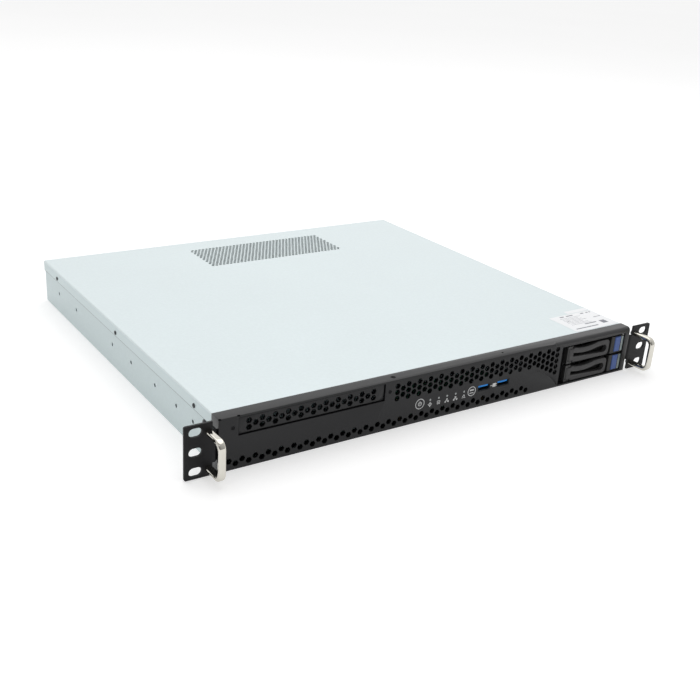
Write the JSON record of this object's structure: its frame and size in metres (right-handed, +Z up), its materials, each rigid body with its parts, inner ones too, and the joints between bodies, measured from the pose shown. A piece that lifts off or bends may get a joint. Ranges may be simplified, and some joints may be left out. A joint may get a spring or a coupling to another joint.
{
  "type": "1u rack server",
  "caption": "Short-depth 1U rack server with slotted ears, chromed handles, perforated front, hot-swap drive trays and a vented lid",
  "frame": {"origin": "middle of the chassis underside, between the side walls and between front face and back wall", "axes": "+X to the right seen from the front, +Y to the rear, +Z up"},
  "size_m": [0.4826, 0.423, 0.0436],
  "materials": {
    "zinc_sheet": "galvanised, satin",
    "lid_sheet": "galvanised, satin",
    "black_moulding": "fine-grained, matte",
    "black_sheet": "powder-coated, matte",
    "chromed_steel": "polished",
    "black_screws": "blackened, satin",
    "steel_screws": "zinc-plated",
    "blue_key": "satin",
    "clear_guide": "clear, glossy",
    "tray_moulding": "matte",
    "lever_moulding": "matte",
    "drive_case": "cast, matte",
    "circuit_board": "solder mask, satin",
    "dark_component": "matte",
    "plated_shell": "nickel-plated",
    "usb_blue": "satin",
    "lens_clear": "diffusing",
    "button_moulding": "matte",
    "fan_moulding": "matte",
    "cooler_aluminium": "extruded",
    "brass_posts": "turned",
    "supply_sheet": "zinc-plated"
  },
  "bodies": {
    "chassis": {"chassis_pan": "zinc_sheet", "top_cover": "lid_sheet", "cover_screws": "black_screws", "front_panel": "black_moulding", "front_panel_screws": "black_screws", "slim_bay_blank": "black_moulding", "slim_bay_shelf": "zinc_sheet", "left_ear": "black_sheet", "right_ear": "black_sheet", "left_handle": "chromed_steel", "right_handle": "chromed_steel", "ear_screws": "black_screws", "handle_screws": "steel_screws", "front_io_board": "circuit_board", "button_switches": "dark_component", "status_lenses": "lens_clear", "front_usb_shells": "plated_shell", "front_usb_tongues": "usb_blue", "drive_cage": "black_sheet", "drive_backplane": "circuit_board", "drive_connectors": "dark_component", "fan_bracket": "zinc_sheet", "mainboard": "circuit_board", "board_standoffs": "brass_posts", "board_screws": "steel_screws", "processor": "plated_shell", "processor_heatsink": "cooler_aluminium", "memory_sockets": "dark_component", "memory_modules": "circuit_board", "power_connector": "dark_component", "rear_network_ports": "plated_shell", "rear_usb_ports": "plated_shell", "io_shield": "supply_sheet", "slot_cover": "supply_sheet", "psu_housing": "supply_sheet", "psu_inlet": "dark_component", "fan_frame_1": "fan_moulding", "fan_frame_2": "fan_moulding", "fan_frame_3": "fan_moulding", "fan_frame_4": "fan_moulding"},
    "power_button": {"power_button": "button_moulding"},
    "id_button": {"id_button": "button_moulding"},
    "lower_tray": {"lower_tray": "tray_moulding", "lower_drive": "drive_case", "lower_light_pipe": "clear_guide", "lower_hinge_pin": "steel_screws"},
    "lower_lever": {"lower_lever": "lever_moulding"},
    "lower_latch": {"lower_latch": "blue_key"},
    "upper_tray": {"upper_tray": "tray_moulding", "upper_drive": "drive_case", "upper_light_pipe": "clear_guide", "upper_hinge_pin": "steel_screws"},
    "upper_lever": {"upper_lever": "lever_moulding"},
    "upper_latch": {"upper_latch": "blue_key"},
    "fan_rotor_1": {"fan_rotor_1": "fan_moulding"},
    "fan_rotor_2": {"fan_rotor_2": "fan_moulding"},
    "fan_rotor_3": {"fan_rotor_3": "fan_moulding"},
    "fan_rotor_4": {"fan_rotor_4": "fan_moulding"},
    "psu_fan_rotor": {"psu_fan_rotor": "fan_moulding"}
  },
  "joints": [
    {"name": "power_button_press", "type": "slide", "parent": "chassis", "child": "power_button", "axis": [0, 1, 0], "range_m": [0, 0.0011], "stiffness_N_per_m": 600},
    {"name": "id_button_press", "type": "slide", "parent": "chassis", "child": "id_button", "axis": [0, 1, 0], "range_m": [0, 0.0011], "stiffness_N_per_m": 600},
    {"name": "lower_tray_slide", "type": "slide", "parent": "chassis", "child": "lower_tray", "axis": [0, -1, 0], "range_m": [0, 0.115]},
    {"name": "lower_lever_swing", "type": "hinge", "parent": "lower_tray", "child": "lower_lever", "pos_m": [0.1396, -0.1968, 0.0098], "axis": [0, 0, -1], "range_deg": [0, 65]},
    {"name": "lower_latch_press", "type": "slide", "parent": "lower_tray", "child": "lower_latch", "axis": [0, 1, 0], "range_m": [0, 0.0015], "stiffness_N_per_m": 600},
    {"name": "upper_tray_slide", "type": "slide", "parent": "chassis", "child": "upper_tray", "axis": [0, -1, 0], "range_m": [0, 0.115]},
    {"name": "upper_lever_swing", "type": "hinge", "parent": "upper_tray", "child": "upper_lever", "pos_m": [0.1396, -0.1968, 0.0282], "axis": [0, 0, -1], "range_deg": [0, 65]},
    {"name": "upper_latch_press", "type": "slide", "parent": "upper_tray", "child": "upper_latch", "axis": [0, 1, 0], "range_m": [0, 0.0015], "stiffness_N_per_m": 600},
    {"name": "fan_1_spin", "type": "hinge", "parent": "chassis", "child": "fan_rotor_1", "pos_m": [-0.036, -0.079, 0.0212], "axis": [0, 1, 0], "continuous": true},
    {"name": "fan_2_spin", "type": "hinge", "parent": "chassis", "child": "fan_rotor_2", "pos_m": [0.008, -0.079, 0.0212], "axis": [0, 1, 0], "continuous": true},
    {"name": "fan_3_spin", "type": "hinge", "parent": "chassis", "child": "fan_rotor_3", "pos_m": [0.052, -0.079, 0.0212], "axis": [0, 1, 0], "continuous": true},
    {"name": "fan_4_spin", "type": "hinge", "parent": "chassis", "child": "fan_rotor_4", "pos_m": [0.096, -0.079, 0.0212], "axis": [0, 1, 0], "continuous": true},
    {"name": "psu_fan_spin", "type": "hinge", "parent": "chassis", "child": "psu_fan_rotor", "pos_m": [-0.136, 0.1883, 0.0213], "axis": [0, 1, 0], "continuous": true}
  ]
}
